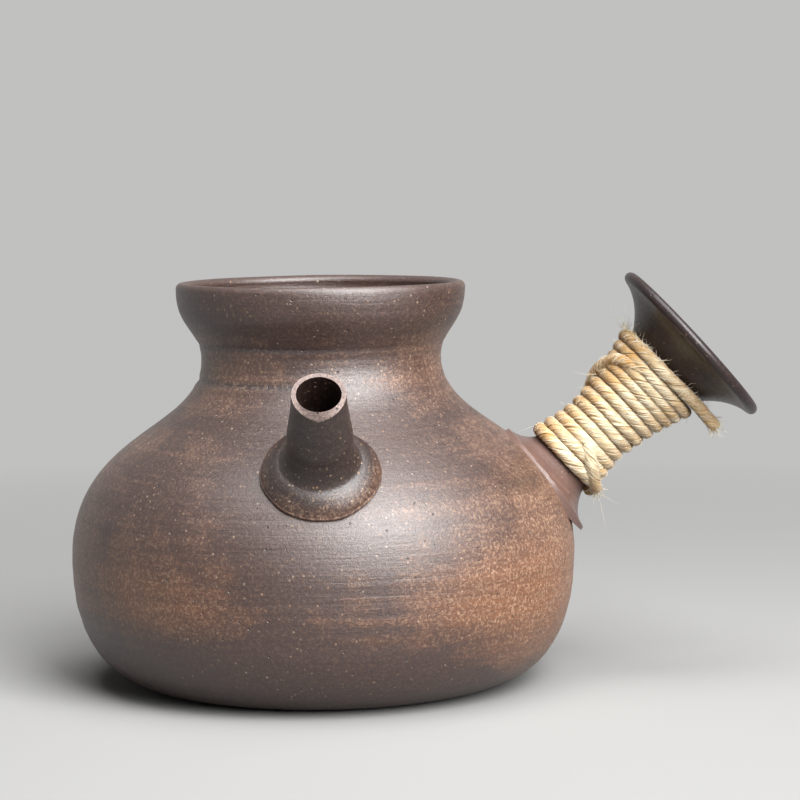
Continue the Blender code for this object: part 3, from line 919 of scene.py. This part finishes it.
def build_spout(clay, lit_lip, pot_tree):
    """The spout: its flange bent to the shoulder, its mouth cut back underneath."""
    place = spout_place()
    down = place.to_3x3() @ Vector((0, 0, -1))

    def seat_height(x, y):
        start = place @ Vector((x, y, SPOUT_LENGTH))
        return SPOUT_LENGTH - pot_tree.ray_cast(start, down)[3]

    flange = (SPOUT_FLANGE_RADIUS, SPOUT_FLANGE_EDGE * 0.55)
    outline = [(SPOUT_MOUTH_RADIUS, SPOUT_LENGTH)]
    curve_on(outline, (SPOUT_NECK_RADIUS, SPOUT_NECK_HEIGHT), SPOUT_TUBE_PULL_SHARES, 22)
    tube_rows = len(outline)
    curve_on(outline, (SPOUT_DOME_RADIUS, SPOUT_DOME_HEIGHT), SPOUT_FILLET_PULL_SHARES, 22)
    edge_top = (SPOUT_FLANGE_RADIUS - SPOUT_FLANGE_EDGE * 0.22, SPOUT_FLANGE_EDGE * 0.85)
    curve_on(outline, edge_top, SPOUT_DOME_PULL_SHARES, 18)
    curve_on(outline, flange, ((0.6, 0.25), (1.0, 0.5)), 4)
    curve_on(outline, (SPOUT_FLANGE_RADIUS - SPOUT_FLANGE_EDGE * 0.5, -SPOUT_SINK),
             ((0.0, 0.5), (0.5, 1.0)), 4)
    line_on(outline, (SPOUT_SEAT_BORE_RADIUS, -SPOUT_SINK), 6)
    curve_on(outline, (SPOUT_NECK_BORE_RADIUS, SPOUT_NECK_HEIGHT), SPOUT_SEAT_PULL_SHARES, 16)
    line_on(outline, (SPOUT_MOUTH_BORE_RADIUS, SPOUT_LENGTH), 16)
    bore_end = len(outline)
    line_on(outline, (SPOUT_MOUTH_RADIUS, SPOUT_LENGTH), 5)
    outline.pop()
    mouth_rows = set(range(bore_end - 1, len(outline))) | {0}
    spread_of_lip = SPOUT_MOUTH_RADIUS - SPOUT_MOUTH_BORE_RADIUS

    def shape(angle, radius, height, row):
        x = radius * math.cos(angle)
        y = radius * math.sin(angle)
        rise = smooth_step(SPOUT_FLANGE_EDGE, SPOUT_NECK_HEIGHT, height)
        bent = height
        if rise < 1:
            bent += (1 - rise) * seat_height(x, y)
        from_below = abs((angle + math.pi / 2 + math.pi) % math.tau - math.pi)
        underneath = max(0, 1 - from_below / SPOUT_LIP_BEVEL_ANGLE)
        bevel = SPOUT_LIP_BEVEL * underneath ** 1.2
        if row in mouth_rows:
            out = (radius - SPOUT_MOUTH_BORE_RADIUS) / spread_of_lip
            bent -= bevel * out
            bent += unevenness(SPOUT_MOUTH_UNEVENNESS, angle, radius, 5, 41)
            return radius, bent
        if row < tube_rows:
            bent -= bevel * max(0, 1 - (SPOUT_LENGTH - height) / SPOUT_LIP_BEVEL_DEPTH)
        edge = smooth_step(SPOUT_FLANGE_RADIUS - 3 * SPOUT_FLANGE_EDGE, SPOUT_FLANGE_RADIUS, radius)
        radius += SPOUT_FLANGE_UNEVENNESS * edge * noise_round(angle, 0, 2.6, 1, 47)
        radius += unevenness(SPOUT_TUBE_UNEVENNESS, angle, height, 0.8, 53)
        return radius, bent

    spout = turned_object("luted_spout", outline, SPOUT_FACETS, place, shape)
    spout.data.materials.append(clay)
    spout.data.materials.append(lit_lip)
    # The lip's upward faces take the paler clay, a painted highlight
    for face in spout.data.polygons:
        centre = face.center
        across = math.hypot(centre.x, centre.y)
        near_mouth = SPOUT_MOUTH_BORE_RADIUS < across < SPOUT_MOUTH_RADIUS
        if near_mouth and centre.z > SPOUT_LENGTH - 1.1 * SPOUT_LIP_BEVEL and face.normal.z > 0.2:
            face.material_index = 1
    shade_round(spout, 38)
    return spout


def build_handle(clay, pot_tree):
    """The hollow trumpet, with a fillet of slip where it is luted to the pot."""
    place = handle_place()
    outer = handle_outer_outline(HANDLE_ROOT_STEPS)
    inner = offset_outline(outer, [HANDLE_WALL] * len(outer))[::2]
    lip = lip_arc(outer[-1], inner[-1], HANDLE_LIP_STEPS)
    outline = outer[::-1] + inner + lip[::-1]
    outer_rows = len(outer)

    def shape(angle, radius, height, row):
        point = place @ Vector((radius * math.cos(angle), radius * math.sin(angle), height))
        radius += unevenness(HANDLE_UNEVENNESS, angle, height, 0.8, 61)
        if row < outer_rows and height < HANDLE_WAIST_HEIGHT:
            near = pot_tree.find_nearest(point)
            outwards = (point - near[0]).dot(near[1])
            short = min(LUTING_FILLET, max(0, LUTING_FILLET - outwards))
            radius += LUTING_FILLET - math.sqrt(LUTING_FILLET ** 2 - short ** 2)
        return radius, height

    handle = turned_object("trumpet_handle", outline, HANDLE_FACETS, place, shape)
    shade_round(handle, 60)
    handle.data.materials.append(clay)
    return handle


# Cord

def frames_along(points):
    """Unit tangents, normals and sides along a path, carried on without twist."""
    tangents = np.gradient(points, axis=0)
    tangents /= np.linalg.norm(tangents, axis=1)[:, None]
    normals = np.empty_like(points)
    normal = np.cross(tangents[0], (0.3, 0.5, 0.8))
    for index, tangent in enumerate(tangents):
        normal = normal - tangent * normal.dot(tangent)
        normal = normal / np.linalg.norm(normal)
        normals[index] = normal
    return tangents, normals, np.cross(tangents, normals)


def distances_along(points):
    steps = np.linalg.norm(np.diff(points, axis=0), axis=1)
    return np.concatenate(([0], np.cumsum(steps)))


def even_path(points, step):
    """The path through the points with a point at each step of its length."""
    along = distances_along(points)
    count = max(8, round(along[-1] / step))
    wanted = np.linspace(0, along[-1], count + 1)
    return np.stack([np.interp(wanted, along, points[:, axis]) for axis in range(3)], axis=1)


def smooth_through(points, steps):
    """A smooth curve through a few points, as a finer list of them."""
    points = np.array(points, float)
    padded = np.vstack((2 * points[0] - points[1], points, 2 * points[-1] - points[-2]))
    curve = []
    for index in range(1, len(padded) - 2):
        before, start, end, after = padded[index - 1:index + 3]
        for t in np.linspace(0, 1, steps, endpoint=False):
            curve.append(0.5 * (2 * start + (end - before) * t
                                + (2 * before - 5 * start + 4 * end - after) * t ** 2
                                + (3 * start - before - 3 * end + after) * t ** 3))
    curve.append(points[-1])
    return np.array(curve)


def on_handle(seat, height, angle, lift):
    """A point of the handle's own frame, above its surface by lift cord diameters."""
    radius = radius_at(seat, height) + lift * 2 * CORD_RADIUS
    return (radius * math.cos(angle), radius * math.sin(angle), height)


def winding_path(seat):
    """The middle line of the wound cord, from its tucked start to the end of its tail."""
    first_crossing = CORD_FRONT_ANGLE + math.tau
    marks = [(CORD_START_ANGLE, CORD_START_HEIGHT)]
    for turn, height in enumerate(FRONT_CROSSINGS):
        marks.append((first_crossing + math.tau * turn, height))
    points = []
    for turn, (start, end) in enumerate(zip(marks, marks[1:])):
        for angle in np.arange(start[0], end[0], math.radians(3)):
            share = (angle - start[0]) / (end[0] - start[0])
            if turn > 0:
                share -= CORD_BACK_ADVANCE_SHARE * math.sin(math.tau * share) / math.tau
            height = start[1] + (end[1] - start[1]) * share
            lift = 0.5 + 0.05 * noise.noise((angle * 0.7, 3.3, 0))
            height += CORD_WANDER * noise.noise((angle * 0.45, 9.1, 0))
            points.append(on_handle(seat, height, angle, lift))
    angle, height = marks[-1]
    leaving = CORD_LEAVES_AT_ANGLE - CORD_FRONT_ANGLE
    for index in range(1, 13):
        share = index / 12
        rise = CORD_TAIL_RISE * share
        points.append(on_handle(seat, height + rise, angle + leaving * share, 0.5))
    way = Vector(points[-1]) - Vector(points[-2])
    way.normalize()
    end = Vector(points[-1])
    sag = Vector(CORD_TAIL_SAG_SHARES) * CORD_TAIL_LENGTH
    for index in range(1, 17):
        share = index / 16
        points.append(tuple(end + way * CORD_TAIL_LENGTH * share + sag * share ** 2))
    return np.array(points)


def ply_section(angle):
    """How far a ply reaches from its middle: a half disc that lies flat against the other ply."""
    to_envelope = (-PLY_OFFSET * math.cos(angle)
                   + math.sqrt(CORD_RADIUS ** 2 - (PLY_OFFSET * math.sin(angle)) ** 2))
    if math.cos(angle) >= 0:
        return to_envelope
    to_flat = PLY_FLAT / max(0.001, -math.cos(angle))
    return (to_envelope ** -3 + to_flat ** -3) ** (-1 / 3)


def cord_grids(path, thickness, seed, seat):
    """The plies of a cord along a path, as grids of points, and the attributes of each point.

    thickness scales the plies at each point. The plies wind round each other to the left.
    """
    along = distances_along(path)
    tangents, normals, sides = frames_along(path)
    seat_heights = [height for radius, height in seat]
    seat_radii = [radius for radius, height in seat]
    grids = []
    lays = []
    groove_shades = []
    for ply in range(2):
        turn = -math.tau * along / PLY_PITCH + math.pi * ply + seed
        arm = np.cos(turn)[:, None] * normals + np.sin(turn)[:, None] * sides
        across = np.cross(tangents, arm)
        middle = path + arm * (PLY_OFFSET * thickness)[:, None]
        grid = np.empty((len(path), PLY_SIDES, 3))
        lay = np.empty((len(path), PLY_SIDES, 3))
        depth = np.empty((len(path), PLY_SIDES))
        swell = noise_along(along, PLY_SWELL_LENGTH, seed, ply * 5.0)
        for side in range(PLY_SIDES):
            angle = math.tau * side / PLY_SIDES
            drift = noise_along(along, PLY_DRIFT_LENGTH, side * 0.6, seed + ply)
            rough = noise_along(along, PLY_ROUGH_LENGTH, side * 1.2, seed - ply)
            ridge = math.cos(PLY_RIDGES * angle + 1.1 * ply)
            uneven = 1 + 0.06 * ridge + 0.08 * swell + 0.15 * drift + 0.10 * rough
            reach = ply_section(angle) * thickness * uneven
            out = math.cos(angle) * arm + math.sin(angle) * across
            grid[:, side] = middle + out * reach[:, None]
            point = grid[:, side]
            from_path = np.linalg.norm(point - path, axis=1) / thickness
            # How deep each point lies in a groove or between turns, which the jute paints as shade
            in_groove = (from_path - 0.68 * CORD_RADIUS) / (0.30 * CORD_RADIUS)
            from_axis = np.hypot(point[:, 0], point[:, 1])
            above_seat = from_axis - np.interp(point[:, 2], seat_heights, seat_radii)
            between_turns = (above_seat - 1.05 * CORD_RADIUS) / (0.65 * CORD_RADIUS)
            depth[:, side] = np.clip(np.minimum(in_groove, between_turns), 0, 1)
            lay[:, side] = np.stack((along + 0.11 * ply, np.full_like(along, math.cos(angle)),
                                     np.full_like(along, math.sin(angle))), axis=1)
        grids.append(grid)
        lays.append(lay.reshape(-1, 3))
        groove_shades.append(depth.reshape(-1))
    return grids, np.concatenate(lays), np.concatenate(groove_shades)


def build_cord(name, path, thickness, seed, seat, place, material):
    grids, lays, groove_shades = cord_grids(path, thickness, seed, seat)
    mesh = mesh_from_grids(name, grids, False)
    mesh.attributes.new("lay", "FLOAT_VECTOR", "POINT").data.foreach_set("vector", lays.reshape(-1))
    mesh.attributes.new("depth", "FLOAT", "POINT").data.foreach_set("value", groove_shades)
    cord = add_object(name, mesh, place)
    shade_round(cord, 75)
    mesh.materials.append(material)
    return cord


def tapered_ends(path, length):
    """A thickness along a path that narrows at both ends over a length."""
    along = distances_along(path)
    from_end = np.minimum(along, along[-1] - along)
    return CORD_END_SHARE + (1 - CORD_END_SHARE) * np.clip(from_end / length, 0, 1) ** 0.5


def strand_grid(path, radius):
    """A strand along a path, as a grid of points, that thins towards its end."""
    _, normals, sides = frames_along(path)
    thin = radius * (1 - 0.75 * np.linspace(0, 1, len(path)) ** 2)
    grid = np.empty((len(path), FIBRE_SIDES, 3))
    for side in range(FIBRE_SIDES):
        angle = math.tau * side / FIBRE_SIDES
        out = math.cos(angle) * normals + math.sin(angle) * sides
        grid[:, side] = path + out * thin[:, None]
    return grid


def scatter(chance):
    return Vector((chance.gauss(0, 1), chance.gauss(0, 1), chance.gauss(0, 1)))


def curling_fibre(chance, start, way, length, curl, radius):
    """A fibre that sets off from start and turns a little at each of its steps."""
    points = [Vector(start)]
    heading = Vector(way).normalized()
    for _ in range(FIBRE_STEPS):
        heading = (heading + scatter(chance) * curl).normalized()
        points.append(points[-1] + heading * length / FIBRE_STEPS)
    path = even_path(smooth_through(points, 3), length / (2 * FIBRE_STEPS))
    return strand_grid(path, radius)


def lying_fibres(chance, path, count):
    """Fibres that lie along a cord's plies and lift off it a little."""
    along = distances_along(path)
    _, normals, sides = frames_along(path)
    grids = []
    for _ in range(count):
        length = chance.uniform(*LYING_LENGTHS)
        first = chance.uniform(0, max(0, along[-1] - length))
        turned = chance.uniform(0, math.tau)
        lifts = [chance.uniform(*lift_range) for lift_range in LYING_LIFTS]
        drift = chance.uniform(-0.9, 0.9)
        points = []
        for share in np.linspace(0, 1, 12):
            at = first + length * share
            row = min(int(at / along[-1] * (len(path) - 1)), len(path) - 2)
            between_rows = at / along[-1] * (len(path) - 1) - row
            middle = path[row] + (path[row + 1] - path[row]) * between_rows
            angle = turned - math.tau * at / PLY_PITCH + drift * share
            out = math.cos(angle) * normals[row] + math.sin(angle) * sides[row]
            lift = np.interp(share, (0, 0.5, 1), lifts)
            points.append(middle + out * (CORD_RADIUS * 1.04 + lift))
        grids.append(strand_grid(np.array(points), chance.uniform(*LYING_RADII)))
    return grids


def standing_fibres(chance, kind, draw_start_and_way):
    """Curling fibres of one kind, each from the start and on the way that are drawn for it."""
    count, lengths, curl, radii = kind
    grids = []
    for _ in range(count):
        start, way = draw_start_and_way()
        length = chance.uniform(*lengths)
        grids.append(curling_fibre(chance, start, way, length, curl, chance.uniform(*radii)))
    return grids


def build_fibres(seat, paths, place, material):
    """Loose jute fibres: lying and standing ones all over the cord, tufts and a few long ones."""
    chance = random.Random(7)
    winding, start_strand, _ = paths
    tangents = frames_along(winding)[0]

    def on_winding():
        at = chance.randrange(len(winding) - 1)
        point = Vector(winding[at])
        outwards = Vector((point.x, point.y, 0)).normalized()
        start = point + outwards * CORD_RADIUS * chance.uniform(0.85, 1.0)
        way = Vector(tangents[at]) * chance.choice((-1, 1)) + outwards * chance.uniform(0.1, 0.8)
        return start, way

    def at_bell():
        angle = chance.uniform(0, math.tau)
        start = on_handle(seat, FRONT_CROSSINGS[-1] + BELL_FIBRE_RISE, angle, 0.75)
        way = Vector((math.cos(angle), math.sin(angle), 0)) * chance.uniform(0.2, 1.0)
        way += Vector((-math.sin(angle), math.cos(angle), 0)) * chance.uniform(-0.8, 0.8)
        way.z += chance.uniform(0.3, 1.1)
        return start, way

    grids = []
    for path, count in zip(paths, LYING_COUNTS):
        grids += lying_fibres(chance, path, count)
    grids += standing_fibres(chance, STRAYS, on_winding)
    grids += standing_fibres(chance, BESIDE_BELL, at_bell)
    for path in (winding, start_strand):
        onward = Vector(path[-1] - path[-4]).normalized()

        def at_end():
            off = scatter(chance)
            start = Vector(path[-1]) + off * TUFT_SPREAD - onward * TUFT_DEPTH
            return start, onward + off * 0.3

        grids += standing_fibres(chance, END_TUFT, at_end)
    for (along_z, along_x), height, degrees, length in LONG_FIBRES:
        start = on_handle(seat, height, math.radians(degrees), 0.95)
        way = (along_x, -0.25, along_z)
        grids.append(curling_fibre(chance, start, way, length, 0.08, LONG_RADIUS))
    mesh = mesh_from_grids("loose_fibres", grids, False)
    mesh.shade_smooth()
    mesh.materials.append(material)
    return add_object("loose_fibres", mesh, place)


def strand_path(seat, marks):
    points = [on_handle(seat, height, math.radians(degrees), lift)
              for height, degrees, lift in marks]
    return even_path(smooth_through(points, 12), CORD_STEP)


def build_handle_winding():
    seat = handle_outer_outline(HANDLE_STEPS)
    place = handle_place()
    shared = (seat, place, jute())
    path = even_path(winding_path(seat), CORD_STEP)
    cord = build_cord("wound_cord", path, tapered_ends(path, CORD_TAPER), 0.0, *shared)
    start_path = strand_path(seat, START_MARKS)
    start_size = tapered_ends(start_path, STRAND_TAPER) * 0.92
    start = build_cord("cord_start", start_path, start_size, 1.0, *shared)
    cross_path = strand_path(seat, CROSSING_MARKS)
    cross_size = tapered_ends(cross_path, STRAND_TAPER) * 0.95
    crossing = build_cord("cord_crossing", cross_path, cross_size, 2.2, *shared)
    fibres = build_fibres(seat, (path, start_path, cross_path), place, loose_jute())
    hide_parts("handle_cord")
    return [cord, start, crossing, fibres]


def build_teapot():
    clay = stoneware("grogged_stoneware", pot_tones, pot_warmth, 0.045, 0.40, 0.95)
    shaded_spout_clay = stoneware("shaded_spout_stoneware", shaded_spout_tones, spout_warmth, 0.10, 0.38, 0.75)
    lit_lip_clay = stoneware("lit_lip_stoneware", lit_lip_tones, even_warmth, 0.20, 0.55, 0.5)
    shaded_handle_clay = stoneware("dark_stoneware", handle_shaded_tones, even_warmth, 0.01, 0.36, 0.45, 0.15)
    pot, pot_tree = build_pot(clay)
    spout = build_spout(shaded_spout_clay, lit_lip_clay, pot_tree)
    strainer = build_strainer(clay)
    handle = build_handle(shaded_handle_clay, pot_tree)
    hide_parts("pot_body")
    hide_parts("spout")
    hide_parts("strainer")
    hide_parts("handle")
    for piece in (pot, spout, strainer):
        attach(piece, "root")
    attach(handle, "root")
    for piece in build_handle_winding():
        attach(piece, "root")


bpy.context.scene.view_settings.view_transform = "Standard"
add_camera()
add_floor()
add_world()
for lamp in LAMPS:
    add_softbox(*lamp)
build_teapot()
